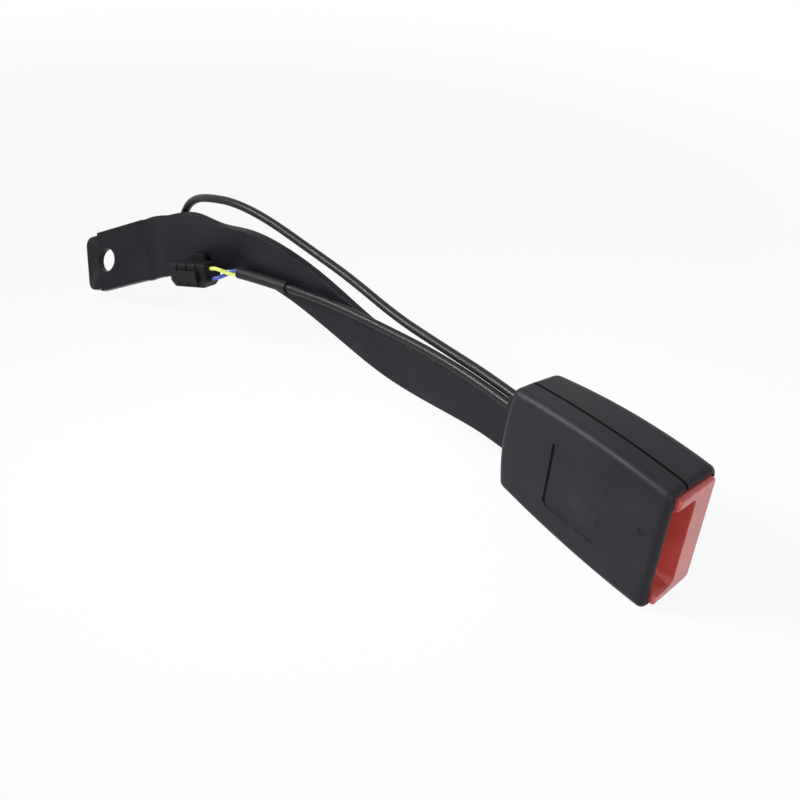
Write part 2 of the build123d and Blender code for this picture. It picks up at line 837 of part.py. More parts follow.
with BuildPart() as connector_lock:
    lock_top = housing_low[1] - lock_high
    add(block(
        (lock_middle - lock_half, lock_top, lock_start),
        (lock_middle + lock_half, lock_top + lock_thick, lock_end),
    ))
    add(block(
        (lock_middle - lock_half, lock_top, lock_start),
        (lock_middle + lock_half, housing_low[1], lock_start + lock_foot),
    ))
    add(block(
        (lock_middle - lock_half + 0.4, lock_top, lock_end - lock_barb),
        (lock_middle + lock_half - 0.4, housing_low[1], lock_end),
    ))
save(connector_plane * connector_lock.part, "connector_lock")

with BuildPart() as connector_terminals:
    for wide in cavity_places:
        add(block(
            (wide - terminal_half, cavity_back - terminal_half, housing_high[2] - cavity_depth),
            (wide + terminal_half, cavity_back + terminal_half, housing_high[2] - cavity_depth + terminal_len),
        ))
save(connector_plane * connector_terminals.part, "connector_terminals")

clip_web_in = -between_marks(width_marks, connector_place) / 2 - clip_web_gap
clip_web_out = clip_web_in - clip_web_thick

with BuildPart() as connector_clip:
    add(block((clip_web_out, -clip_leg_out, -clip_half), (clip_reach, -clip_leg_in, clip_half)))
    add(block((clip_web_out, -clip_leg_out, -clip_half), (clip_web_in, clip_leg_out, clip_half)))
    add(block((clip_web_out, clip_leg_in, -clip_half), (clip_reach, clip_leg_out, clip_half)))
    # boot that holds the second lead's end
    add(rod((boot_wide, boot_back, -clip_half), (0, 0, 1), boot_dia / 2, clip_half + boot_mouth))
    add(block(
        (boot_wide - boot_dia / 2, clip_leg_in, -clip_half),
        (boot_wide + boot_dia / 2, boot_back, boot_mouth - 1),
    ))
    add(rod(
        (boot_wide, boot_back, boot_stop), (0, 0, 1), cable_dia / 2, boot_mouth - boot_stop + 1
    ), mode=Mode.SUBTRACT)
save(connector_plane * connector_clip.part, "connector_clip")

# ---------------------------------------------------------------- wires
# from the sleeve's end the yellow wire arches over the blue one into the housing
yellow_points = [
    beside_strap(-11.65, -3.1, -22.6),
    beside_strap(-11.4, -4.5, -20.4),
    beside_strap(-7.8, -8.8, -16.4),
    beside_strap(-8.0, -8.45, -13.3),
    beside_strap(-8.3, -7.7, housing_low[2] - wire_entry_gap),
]
blue_points = [
    beside_strap(-9.75, -3.1, -23.1),
    beside_strap(-9.6, -3.1, -20.4),
    beside_strap(-11.8, -4.9, -15.6),
    beside_strap(-12.4, -6.9, -13.4),
    beside_strap(-12.5, -7.6, housing_low[2] - wire_entry_gap),
]
cord(yellow_points, wire_dia, "wire_yellow")
cord(blue_points, wire_dia, "wire_blue")
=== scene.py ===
"""Looks of the seat belt buckle: finishes, leads, wires, springs and its studio.

Metres, in the part's own frame: +X from the anchor bolt towards the release button,
+Y from the front cover to the rear cover, +Z across the width of the buckle.
"""

import math

import bmesh
import bpy
from mathutils import Matrix, Vector


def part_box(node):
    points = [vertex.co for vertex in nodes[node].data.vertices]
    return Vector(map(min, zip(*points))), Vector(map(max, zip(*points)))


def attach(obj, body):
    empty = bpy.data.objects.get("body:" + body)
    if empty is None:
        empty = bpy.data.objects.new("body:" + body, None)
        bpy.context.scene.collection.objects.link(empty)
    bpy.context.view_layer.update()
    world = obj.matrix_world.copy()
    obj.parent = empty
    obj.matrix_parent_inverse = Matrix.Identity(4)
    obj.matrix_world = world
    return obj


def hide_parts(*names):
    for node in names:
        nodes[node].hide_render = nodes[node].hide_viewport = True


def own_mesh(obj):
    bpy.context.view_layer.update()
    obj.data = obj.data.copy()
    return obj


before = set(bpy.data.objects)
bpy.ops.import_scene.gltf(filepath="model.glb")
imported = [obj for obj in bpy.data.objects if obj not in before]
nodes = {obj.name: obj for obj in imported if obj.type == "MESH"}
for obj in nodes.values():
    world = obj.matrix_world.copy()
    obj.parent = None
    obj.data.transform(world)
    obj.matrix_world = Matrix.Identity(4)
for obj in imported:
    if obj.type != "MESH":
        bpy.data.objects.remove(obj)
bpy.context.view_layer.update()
scene = bpy.context.scene
MM = 0.001
EVEN = (1, 1, 1)
NUMBER = "NodeSocketFloat"
DIRECTION = "NodeSocketVector"


# ---------------------------------------------------------------- node helpers
def place_node(tree, kind, **settings):
    """New node of a kind with its plain settings."""
    made = tree.nodes.new(kind)
    for key, value in settings.items():
        setattr(made, key, value)
    return made


def feed(tree, socket, value):
    """Links a socket to another one, or gives it a plain value."""
    if isinstance(value, bpy.types.NodeSocket):
        tree.links.new(value, socket)
    else:
        socket.default_value = value


def sum_of(tree, operation, first, second, third=None, clamp=False):
    """Result of one Math node."""
    made = place_node(tree, "ShaderNodeMath", operation=operation, use_clamp=clamp)
    feed(tree, made.inputs[0], first)
    feed(tree, made.inputs[1], second)
    if third is not None:
        feed(tree, made.inputs[2], third)
    return made.outputs[0]


def remap(tree, value, low, high, to_low=0.0, to_high=1.0):
    """Value carried from one range to another, clamped and eased."""
    made = place_node(tree, "ShaderNodeMapRange", interpolation_type="SMOOTHSTEP")
    feed(tree, made.inputs["Value"], value)
    feed(tree, made.inputs["From Min"], low)
    feed(tree, made.inputs["From Max"], high)
    feed(tree, made.inputs["To Min"], to_low)
    feed(tree, made.inputs["To Max"], to_high)
    return made.outputs["Result"]


def noise(tree, vector, scale, detail=2.0, roughness=0.5):
    """Noise value on a vector."""
    made = place_node(tree, "ShaderNodeTexNoise")
    feed(tree, made.inputs["Vector"], vector)
    feed(tree, made.inputs["Scale"], scale)
    made.inputs["Detail"].default_value = detail
    made.inputs["Roughness"].default_value = roughness
    return made.outputs["Fac"]


def stretched(tree, stretch):
    """Object coordinates, stretched along the axes."""
    spot = place_node(tree, "ShaderNodeTexCoord")
    mapping = place_node(tree, "ShaderNodeMapping")
    tree.links.new(spot.outputs["Object"], mapping.inputs["Vector"])
    mapping.inputs["Scale"].default_value = stretch
    return mapping.outputs["Vector"]


def new_group(name, inputs, outputs):
    """Empty shader group with named number inputs, and its two ends."""
    group = bpy.data.node_groups.new(name, "ShaderNodeTree")
    for label, value in inputs.items():
        socket = group.interface.new_socket(label, in_out="INPUT", socket_type=NUMBER)
        socket.default_value = value
    for label, kind in outputs.items():
        group.interface.new_socket(label, in_out="OUTPUT", socket_type=kind)
    return group, group.nodes.new("NodeGroupInput"), group.nodes.new("NodeGroupOutput")


# ---------------------------------------------------------------- shared effects
def moulded_grain():
    """Fine pebbled grain of a moulding tool, with the faint cloudiness of its gloss."""
    group, given, result = new_group(
        "moulded grain",
        {"Grain per metre": 3000.0, "Cloud per metre": 60.0},
        {"Height": NUMBER, "Cloud": NUMBER},
    )
    spot = stretched(group, EVEN)
    pebble = place_node(group, "ShaderNodeTexVoronoi", feature="SMOOTH_F1")
    feed(group, pebble.inputs["Vector"], spot)
    feed(group, pebble.inputs["Scale"], given.outputs["Grain per metre"])
    pebble.inputs["Smoothness"].default_value = 0.8
    finer = sum_of(group, "MULTIPLY", given.outputs["Grain per metre"], 1.7)
    fine = noise(group, spot, finer)
    height = sum_of(group, "MULTIPLY_ADD", pebble.outputs["Distance"], 0.7, fine)
    cloud = noise(group, spot, given.outputs["Cloud per metre"], 4.0, 0.6)
    feed(group, result.inputs["Height"], height)
    feed(group, result.inputs["Cloud"], cloud)
    return group


def edge_rub():
    """Mask of the corners that hands and clothing rub bright, and their softened normal."""
    group, given, result = new_group(
        "edge rub",
        {"Edge Radius": 0.0004, "Reach": 0.25, "Patch per metre": 220.0},
        {"Mask": NUMBER, "Normal": DIRECTION},
    )
    soft = place_node(group, "ShaderNodeBevel", samples=6)
    feed(group, soft.inputs["Radius"], given.outputs["Edge Radius"])
    face = place_node(group, "ShaderNodeNewGeometry")
    turn = place_node(group, "ShaderNodeVectorMath", operation="DOT_PRODUCT")
    feed(group, turn.inputs[0], soft.outputs["Normal"])
    feed(group, turn.inputs[1], face.outputs["Normal"])
    turned = sum_of(group, "SUBTRACT", 1.0, turn.outputs["Value"])
    rim = remap(group, turned, 0.01, given.outputs["Reach"])
    spot = stretched(group, EVEN)
    patches = noise(group, spot, given.outputs["Patch per metre"], 5.0, 0.65)
    worn = sum_of(group, "MULTIPLY", rim, remap(group, patches, 0.35, 0.65))
    feed(group, result.inputs["Mask"], worn)
    feed(group, result.inputs["Normal"], soft.outputs["Normal"])
    return group


def settled_dust():
    """Sparse pale specks and a thin film of dust in patches."""
    group, given, result = new_group(
        "settled dust",
        {"Speck per metre": 900.0, "Amount": 0.5},
        {"Mask": NUMBER},
    )
    spot = stretched(group, EVEN)
    speck = place_node(group, "ShaderNodeTexVoronoi")
    feed(group, speck.inputs["Vector"], spot)
    feed(group, speck.inputs["Scale"], given.outputs["Speck per metre"])
    dots = remap(group, speck.outputs["Distance"], 0.16, 0.06)
    chosen = place_node(group, "ShaderNodeSeparateColor")
    feed(group, chosen.inputs["Color"], speck.outputs["Color"])
    kept = remap(group, chosen.outputs["Red"], 0.86, 0.9)
    film = remap(group, noise(group, spot, 45.0, 5.0, 0.7), 0.5, 0.8, 0.0, 0.35)
    total = sum_of(group, "MULTIPLY_ADD", dots, kept, film)
    amount = sum_of(group, "MULTIPLY", total, given.outputs["Amount"], clamp=True)
    feed(group, result.inputs["Mask"], amount)
    return group


def drawn_lines():
    """Long fine scratches of rolled or brushed metal."""
    group, given, result = new_group(
        "drawn lines",
        {"Line per metre": 4000.0},
        {"Height": NUMBER, "Sheen": NUMBER},
    )
    lines = stretched(group, (0.03, 1.0, 1.0))
    along = noise(group, lines, given.outputs["Line per metre"], 3.0, 0.6)
    broad = noise(group, stretched(group, (0.2, 1.0, 1.0)), 300.0, 3.0, 0.6)
    feed(group, result.inputs["Height"], along)
    feed(group, result.inputs["Sheen"], broad)
    return group


GRAIN = moulded_grain()
RUB = edge_rub()
DUST = settled_dust()
DRAWN = drawn_lines()


def use_group(tree, group, **values):
    """A group placed in a material with its own values."""
    made = place_node(tree, "ShaderNodeGroup", node_tree=group)
    for key, value in values.items():
        made.inputs[key.replace("_", " ")].default_value = value
    return made


def blend_colour(tree, mask, first, second):
    """Colour between two, by a mask."""
    made = place_node(tree, "ShaderNodeMix", data_type="RGBA")
    feed(tree, made.inputs[0], mask)
    for place, colour in ((6, first), (7, second)):
        plain = not isinstance(colour, bpy.types.NodeSocket)
        feed(tree, made.inputs[place], (*colour, 1.0) if plain else colour)
    return made.outputs[2]


DUST_COLOUR = (0.18, 0.175, 0.17)
# painted shade: a near-black colour that stands in for the shadow inside the narrow gap of
# the seam between the two covers, and the widths across which it fades out
GROOVE_SHADE_COLOUR = (0.0005, 0.0005, 0.0005)
GROOVE_SHADE_START = 0.42 * MM
GROOVE_SHADE_END = 0.72 * MM
GRAIN_DEPTH = 0.05 * MM
LINE_DEPTH = 0.02 * MM
SOFT_DEPTH = 2 * MM
COAT_ROUGHNESS = 0.08
DULL_SHARE = 0.82
SHADE_SPAN = (0.3, 0.7)
GLOSS_SPAN = (0.25, 0.75)


def open_material(name):
    """New material with its tree and its Principled shader."""
    made = bpy.data.materials.new(name)
    made.use_nodes = True
    return made, made.node_tree, made.node_tree.nodes["Principled BSDF"]


def surface(tree, shader, height, lift, distance, normal):
    """Bump of a height over the softened normal of the corners."""
    bump = place_node(tree, "ShaderNodeBump")
    bump.inputs["Strength"].default_value = lift
    bump.inputs["Distance"].default_value = distance
    feed(tree, bump.inputs["Height"], height)
    feed(tree, bump.inputs["Normal"], normal)
    feed(tree, shader.inputs["Normal"], bump.outputs["Normal"])


def parting_line_shade(tree, level):
    """1 in the thin grooved seam where two mouldings meet at one height of the part's Y: the
    mask where the shade inside that gap is painted near-black.
    """
    split = place_node(tree, "ShaderNodeSeparateXYZ")
    feed(tree, split.inputs[0], stretched(tree, EVEN))
    off = sum_of(tree, "SUBTRACT", split.outputs["Y"], level)
    off = sum_of(tree, "ABSOLUTE", off, 0.0)
    return remap(tree, off, GROOVE_SHADE_END, GROOVE_SHADE_START)


def moulded(
    name, dark, pale, rubbed, dust, gloss, grain, lift, edge,
    specular=0.5, coat=0.0, soft=0.0, shaded_seam_at=None,
):
    """Moulded plastic, rubber or jacket: grain, cloudy gloss, rubbed corners, dust, and
    painted shade along a seam when its height is given.
    """
    made, tree, shader = open_material(name)
    texture = use_group(tree, GRAIN, Grain_per_metre=grain)
    rub = use_group(tree, RUB, Edge_Radius=edge)
    cloud = texture.outputs["Cloud"]
    colour = blend_colour(tree, remap(tree, cloud, *SHADE_SPAN), dark, pale)
    colour = blend_colour(tree, rub.outputs["Mask"], colour, rubbed)
    if dust:
        specks = use_group(tree, DUST, Amount=dust)
        colour = blend_colour(tree, specks.outputs["Mask"], colour, DUST_COLOUR)
    roughness = remap(tree, cloud, *GLOSS_SPAN, *gloss)
    if shaded_seam_at is not None:
        # painted shade: the seam's narrow gap is darkened to near-black and made rough,
        # standing in for the shadow inside it
        groove_shade = parting_line_shade(tree, shaded_seam_at)
        colour = blend_colour(tree, groove_shade, colour, GROOVE_SHADE_COLOUR)
        roughness = sum_of(tree, "MAXIMUM", roughness, groove_shade)
    feed(tree, shader.inputs["Base Color"], colour)
    feed(tree, shader.inputs["Roughness"], roughness)
    shader.inputs["Specular IOR Level"].default_value = specular
    shader.inputs["Coat Weight"].default_value = coat
    shader.inputs["Coat Roughness"].default_value = COAT_ROUGHNESS
    shader.inputs["Subsurface Weight"].default_value = soft
    shader.inputs["Subsurface Scale"].default_value = SOFT_DEPTH
    surface(tree, shader, texture.outputs["Height"], lift, GRAIN_DEPTH, rub.outputs["Normal"])
    return made


def metal(name, colour, worn, gloss, lines, lift, edge):
    """Bare or plated metal with drawn lines, worn corners and a cloudy polish."""
    made, tree, shader = open_material(name)
    drawn = use_group(tree, DRAWN, Line_per_metre=lines)
    rub = use_group(tree, RUB, Edge_Radius=edge)
    sheen = drawn.outputs["Sheen"]
    dull = [DULL_SHARE * channel for channel in colour]
    shade = blend_colour(tree, remap(tree, sheen, *SHADE_SPAN), colour, dull)
    shade = blend_colour(tree, rub.outputs["Mask"], shade, worn)
    feed(tree, shader.inputs["Base Color"], shade)
    feed(tree, shader.inputs["Roughness"], remap(tree, sheen, *GLOSS_SPAN, *gloss))
    shader.inputs["Metallic"].default_value = 1.0
    surface(tree, shader, drawn.outputs["Height"], lift, LINE_DEPTH, rub.outputs["Normal"])
    return made


# ---------------------------------------------------------------- finishes
SEAM_HEIGHT = 44.5 * MM

MOULDED = {
    # the covers get painted shade along their seam at SEAM_HEIGHT
    "cover_black": dict(
        dark=(0.0110, 0.0110, 0.0148), pale=(0.0142, 0.0142, 0.0185),
        rubbed=(0.034, 0.034, 0.040), dust=0.15, gloss=(0.4, 0.5), grain=2600,
        lift=0.3, edge=0.2 * MM, specular=0.14, shaded_seam_at=SEAM_HEIGHT,
    ),
    "button_red": dict(
        dark=(0.42, 0.058, 0.049), pale=(0.50, 0.074, 0.062),
        rubbed=(0.60, 0.20, 0.17), dust=0.03, gloss=(0.14, 0.24), grain=900,
        lift=0.05, edge=0.4 * MM, specular=0.35, coat=0.2, soft=0.1,
    ),
    "strap_black": dict(
        dark=(0.0068, 0.0068, 0.0100), pale=(0.0098, 0.0098, 0.0138),
        rubbed=(0.07, 0.07, 0.076), dust=0.16, gloss=(0.34, 0.46), grain=1800,
        lift=0.16, edge=0.5 * MM, specular=0.13,
    ),
    "ejector_black": dict(
        dark=(0.03, 0.03, 0.032), pale=(0.038, 0.038, 0.04),
        rubbed=(0.07, 0.07, 0.07), dust=0.0, gloss=(0.4, 0.5), grain=3000,
        lift=0.1, edge=0.25 * MM, specular=0.2,
    ),
    "switch_black": dict(
        dark=(0.03, 0.03, 0.03), pale=(0.036, 0.036, 0.036),
        rubbed=(0.07, 0.07, 0.07), dust=0.0, gloss=(0.5, 0.6), grain=3500,
        lift=0.15, edge=0.2 * MM, specular=0.2,
    ),
    "grommet_rubber": dict(
        dark=(0.012, 0.012, 0.012), pale=(0.018, 0.018, 0.018),
        rubbed=(0.04, 0.04, 0.04), dust=0.35, gloss=(0.65, 0.8), grain=2200,
        lift=0.3, edge=0.3 * MM, specular=0.15,
    ),
    "lead_black": dict(
        dark=(0.0055, 0.0055, 0.0068), pale=(0.0080, 0.0080, 0.0096),
        rubbed=(0.02, 0.02, 0.02), dust=0.02, gloss=(0.36, 0.44), grain=1400,
        lift=0.01, edge=0.02 * MM, specular=0.2,
    ),
    "sleeve_black": dict(
        dark=(0.009, 0.009, 0.0105), pale=(0.012, 0.012, 0.0135),
        rubbed=(0.03, 0.03, 0.03), dust=0.08, gloss=(0.42, 0.52), grain=700,
        lift=0.1, edge=0.1 * MM, specular=0.18,
    ),
    "wire_yellow": dict(
        dark=(0.72, 0.82, 0.13), pale=(0.80, 0.88, 0.20),
        rubbed=(0.9, 0.95, 0.5), dust=0.1, gloss=(0.25, 0.35), grain=1400,
        lift=0.08, edge=0.15 * MM,
    ),
    "wire_blue": dict(
        dark=(0.045, 0.08, 0.38), pale=(0.06, 0.11, 0.46),
        rubbed=(0.2, 0.25, 0.6), dust=0.1, gloss=(0.25, 0.35), grain=1400,
        lift=0.08, edge=0.15 * MM,
    ),
    "connector_black": dict(
        dark=(0.006, 0.006, 0.0075), pale=(0.009, 0.009, 0.0105),
        rubbed=(0.03, 0.03, 0.03), dust=0.12, gloss=(0.4, 0.5), grain=3200,
        lift=0.15, edge=0.25 * MM, specular=0.12,
    ),
    "clip_black": dict(
        dark=(0.008, 0.008, 0.0095), pale=(0.011, 0.011, 0.0125),
        rubbed=(0.035, 0.035, 0.035), dust=0.12, gloss=(0.4, 0.55), grain=2800,
        lift=0.15, edge=0.25 * MM, specular=0.12,
    ),
}
METALS = {
    "frame_steel": dict(
        colour=(0.55, 0.55, 0.57), worn=(0.75, 0.75, 0.76),
        gloss=(0.28, 0.42), lines=3500, lift=0.25, edge=0.3 * MM,
    ),
    "pin_steel": dict(
        colour=(0.6, 0.6, 0.62), worn=(0.8, 0.8, 0.8),
        gloss=(0.2, 0.34), lines=5000, lift=0.15, edge=0.2 * MM,
    ),
    "latch_steel": dict(
        colour=(0.42, 0.42, 0.44), worn=(0.65, 0.65, 0.66),
        gloss=(0.26, 0.4), lines=3000, lift=0.2, edge=0.3 * MM,
    ),
    "spring_steel": dict(
        colour=(0.5, 0.5, 0.5), worn=(0.7, 0.7, 0.7),
        gloss=(0.22, 0.34), lines=6000, lift=0.15, edge=0.1 * MM,
    ),
    "terminal_brass": dict(
        colour=(0.75, 0.6, 0.3), worn=(0.85, 0.75, 0.5),
        gloss=(0.25, 0.38), lines=5000, lift=0.15, edge=0.1 * MM,
    ),
}
FINISHES = {name: moulded(name, **look) for name, look in MOULDED.items()}
FINISHES.update((name, metal(name, **look)) for name, look in METALS.items())

# each frame node keeps its shape and takes the finish its own slot names
for node in nodes.values():
    for slot in node.material_slots:
        slot.material = FINISHES[slot.material.name.split(".")[0]]

# ---------------------------------------------------------------- strap
# the bend's lower and upper end, the strap's directions there, and how many times too
# wide and too thick the loft is at even steps between them
BEND_ENDS = (Vector((0.01887, 0.00929, 0.01157)), Vector((0.03118, 0.01419, 0.01827)))
BEND_ALONG = (Vector((0.786, 0.387, 0.482)), Vector((0.8588, 0.2898, 0.4225)))
BEND_ACROSS = (Vector((-0.5939, 0.2565, 0.7626)), Vector((-0.4866, 0.203, 0.8497)))
SWELL_WIDE = (1.0, 1.112, 1.16, 1.165, 1.135, 1.082, 1.03, 1.0)
SWELL_THICK = (1.0, 1.43, 1.62, 1.6, 1.46, 1.25, 1.05, 1.0)
WELD_DISTANCE = 1e-6
SHARP_ANGLE = math.radians(35)


def step_between(values, share):
    """Value at a share of the way through evenly spaced ones."""
    place = share * (len(values) - 1)
    first = min(int(place), len(values) - 2)
    return values[first] + (values[first + 1] - values[first]) * (place - first)


def straightened_strap():
    """The strap with even edges and thickness through the bend beside its anchor plate."""
    mesh = nodes["stalk_strap"].data.copy()
    shape = bmesh.new()
    shape.from_mesh(mesh)
    bmesh.ops.remove_doubles(shape, verts=shape.verts, dist=WELD_DISTANCE)
    for vertex in shape.verts:
        above_plate = (vertex.co - BEND_ENDS[0]).dot(BEND_ALONG[0])
        below_strap = (BEND_ENDS[1] - vertex.co).dot(BEND_ALONG[1])
        if above_plate <= 0 or below_strap <= 0:
            continue
        share = above_plate / (above_plate + below_strap)
        across = BEND_ACROSS[0].lerp(BEND_ACROSS[1], share).normalized()
        along = BEND_ALONG[0].lerp(BEND_ALONG[1], share).normalized()
        through = across.cross(along).normalized()
        offset = vertex.co - BEND_ENDS[0].lerp(BEND_ENDS[1], share)
        for way, swelling in ((across, SWELL_WIDE), (through, SWELL_THICK)):
            spare = 1 - 1 / step_between(swelling, share)
            vertex.co -= way * offset.dot(way) * spare
    shape.to_mesh(mesh)
    shape.free()
    for face in mesh.polygons:
        face.use_smooth = True
    mesh.set_sharp_from_angle(angle=SHARP_ANGLE)
    made = bpy.data.objects.new("strap_form", mesh)
    scene.collection.objects.link(made)
    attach(made, "buckle")
    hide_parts("stalk_strap")


straightened_strap()

# ---------------------------------------------------------------- leads and wires
CABLE_DIAMETER = 3.4 * MM
SLEEVE_DIAMETER = 4.7 * MM
WIRE_DIAMETER = 1.6 * MM
CABLE_STEPS = 12
CABLE_ROUNDNESS = 6

LEAD_A_ROUTE = [
    (0.2396, 0.0406, 0.0410),
    (0.2120, 0.0406, 0.0410),
    (0.1840, 0.0391, 0.0399),
    (0.1560, 0.0370, 0.0366),
    (0.1300, 0.0332, 0.0343),
    (0.1100, 0.0297, 0.0310),
    (0.1044, 0.028608, 0.030007),
]
SLEEVE_ROUTE = [
    (0.1044, 0.028608, 0.030007),
    (0.0880, 0.02541, 0.0271),
    (0.0770, 0.0227, 0.02492),
]
LEAD_B_ROUTE = [
    (0.2396, 0.0432, 0.0433),
    (0.2120, 0.0432, 0.0433),
    (0.1840, 0.0430, 0.0413),
    (0.1580, 0.0416, 0.0407),
    (0.1310, 0.0393, 0.0446),
    (0.1080, 0.0358, 0.0472),
    (0.0840, 0.0310, 0.0509),
    (0.0660, 0.0269, 0.0511),
    (0.0500, 0.0251, 0.0466),
    (0.0385, 0.0250, 0.0416),
    (0.0314, 0.0244, 0.0358),
    (0.0290, 0.0228, 0.0284),
    (0.0318, 0.0216, 0.0216),
    (0.0384, 0.0210, 0.0174),
    (0.04831, 0.02379, 0.01949),
    (0.05332, 0.02516, 0.02130),
]
YELLOW_ROUTE = [
    (0.07684, 0.02252, 0.02382),
    (0.07507, 0.02063, 0.02348),
    (0.07114, 0.01556, 0.02601),
    (0.06831, 0.01513, 0.02476),
    (0.06651, 0.01537, 0.02377),
]
BLUE_ROUTE = [
    (0.07664, 0.02269, 0.02576),
    (0.07413, 0.02203, 0.02502),
    (0.07092, 0.01904, 0.02157),
    (0.06957, 0.01654, 0.02050),
    (0.06794, 0.01536, 0.01982),
]


def cable(name, route, diameter, finish, stands_for):
    """Round cable on a smooth curve along its route, in place of its CAD solid."""
    curve = bpy.data.curves.new(name, "CURVE")
    curve.dimensions = "3D"
    curve.resolution_u = CABLE_STEPS
    curve.bevel_depth = diameter / 2
    curve.bevel_resolution = CABLE_ROUNDNESS
    curve.use_fill_caps = True
    line = curve.splines.new("NURBS")
    line.points.add(len(route) - 1)
    for point, place in zip(line.points, route):
        point.co = (*place, 1.0)
    line.order_u = 3
    line.use_endpoint_u = True
    curve.materials.append(FINISHES[finish])
    made = bpy.data.objects.new(name, curve)
    scene.collection.objects.link(made)
    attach(made, "buckle")
    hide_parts(stands_for)
    return made


lead_a = cable("switch_lead_a", LEAD_A_ROUTE, CABLE_DIAMETER, "lead_black", "lead_a")
lead_b = cable("switch_lead_b", LEAD_B_ROUTE, CABLE_DIAMETER, "lead_black", "lead_b")
sleeve = cable(
    "lead_end_sleeve", SLEEVE_ROUTE, SLEEVE_DIAMETER, "sleeve_black", "lead_a_sleeve"
)
yellow = cable("yellow_wire", YELLOW_ROUTE, WIRE_DIAMETER, "wire_yellow", "wire_yellow")
blue = cable("blue_wire", BLUE_ROUTE, WIRE_DIAMETER, "wire_blue", "wire_blue")


# ---------------------------------------------------------------- springs
TURN_STEPS = 24
WIRE_SIDES = 10


def coil_tree():
    """Geometry of a wound spring: a helix of round wire along Z, closed at both ends."""
    tree = bpy.data.node_groups.new("wound spring", "GeometryNodeTree")
    sizes = {"Length": 0.016, "Radius": 0.0016, "Wire Radius": 0.0002, "Turns": 9.0}
    for label, value in sizes.items():
        socket = tree.interface.new_socket(label, in_out="INPUT", socket_type=NUMBER)
        socket.default_value = value
    tree.interface.new_socket("Finish", in_out="INPUT", socket_type="NodeSocketMaterial")
    tree.interface.new_socket("Geometry", in_out="OUTPUT", socket_type="NodeSocketGeometry")
    given = tree.nodes.new("NodeGroupInput")
    result = tree.nodes.new("NodeGroupOutput")
    spiral = place_node(tree, "GeometryNodeCurveSpiral")
    spiral.inputs["Resolution"].default_value = TURN_STEPS
    feed(tree, spiral.inputs["Rotations"], given.outputs["Turns"])
    feed(tree, spiral.inputs["Start Radius"], given.outputs["Radius"])
    feed(tree, spiral.inputs["End Radius"], given.outputs["Radius"])
    feed(tree, spiral.inputs["Height"], given.outputs["Length"])
    wire = place_node(tree, "GeometryNodeCurvePrimitiveCircle")
    wire.inputs["Resolution"].default_value = WIRE_SIDES
    feed(tree, wire.inputs["Radius"], given.outputs["Wire Radius"])
    skin = place_node(tree, "GeometryNodeCurveToMesh")
    feed(tree, skin.inputs["Curve"], spiral.outputs["Curve"])
    feed(tree, skin.inputs["Profile Curve"], wire.outputs["Curve"])
    skin.inputs["Fill Caps"].default_value = True
    whole = place_node(tree, "GeometryNodeRealizeInstances")
    feed(tree, whole.inputs["Geometry"], skin.outputs["Mesh"])
    smooth = place_node(tree, "GeometryNodeSetShadeSmooth")
    feed(tree, smooth.inputs["Geometry"], whole.outputs["Geometry"])
    dressed = place_node(tree, "GeometryNodeSetMaterial")
    feed(tree, dressed.inputs["Geometry"], smooth.outputs["Geometry"])
    feed(tree, dressed.inputs["Material"], given.outputs["Finish"])
    feed(tree, result.inputs["Geometry"], dressed.outputs["Geometry"])
    return tree


COIL = coil_tree()


def wound_spring(node, axis, turns, wire_radius, joint, keep):
    """Wound spring in the room of a CAD sleeve."""
    low, high = (Vector(corner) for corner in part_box(node))
    along = Vector(axis)
    length = abs((high - low).dot(along))
    across_axis = 1 if along.x else 0
    radius = (high - low)[across_axis] / 2 - wire_radius
    middle = (low + high) / 2
    base = middle - along * (length / 2 - wire_radius)
    holder = bpy.data.objects.new(node + "_form", bpy.data.meshes.new(node + "_form"))
    scene.collection.objects.link(holder)
    coil = holder.modifiers.new("coil", "NODES")
    coil.node_group = COIL
    sizes = {
        "Length": length - 2 * wire_radius,
        "Radius": radius,
        "Wire Radius": wire_radius,
        "Turns": float(turns),
        "Finish": FINISHES["spring_steel"],
    }
    for item in COIL.interface.items_tree:
        if item.in_out == "INPUT":
            coil[item.identifier] = sizes[item.name]
    ready = holder.evaluated_get(bpy.context.evaluated_depsgraph_get())
    mesh = bpy.data.meshes.new_from_object(ready)
    bpy.data.objects.remove(holder)
    turn = along.to_track_quat("Z", "Y").to_matrix().to_4x4()
    mesh.transform(Matrix.Translation(base) @ turn)
    made = bpy.data.objects.new(node + "_coil", mesh)
    scene.collection.objects.link(made)
    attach(made, "buckle")
    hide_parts(node)
    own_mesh(made)


# axis away from the seat, turns, wire radius, joint, share of its length at the limit
SPRINGS = {
    "button_spring_low": ((1, 0, 0), 9, 0.25 * MM, "button_slide", 0.72),
    "button_spring_high": ((1, 0, 0), 9, 0.25 * MM, "button_slide", 0.72),
    "ejector_spring": ((1, 0, 0), 13, 0.22 * MM, "ejector_slide", 0.53),
    "latch_spring": ((0, -1, 0), 3.5, 0.25 * MM, "latch_hinge", 0.52),
}
for spring, winding in SPRINGS.items():
    wound_spring(spring, *winding)


# ---------------------------------------------------------------- studio
CAMERA_AZIMUTH = math.radians(49.82)
CAMERA_ELEVATION = math.radians(35.28)
CAMERA_ROLL = math.radians(5.29)
CAMERA_PLACE = Vector((0.4376, -0.1894, 0.2604))
LENS = 51.75
SENSOR_WIDTH = 36.0
FLOOR_TILT = math.radians(4.9)
FLOOR_SIZE = 6.0
FLOOR_GAP = 0.3 * MM
FLOOR_COLOUR = (0.82, 0.82, 0.83, 1)
SHADOW_SPAN = (0.28, 0.60)
WHITENESS = (0.91, 1.0)
WHITE = (1, 1, 1, 1)
WORLD_LIGHT = 0.34

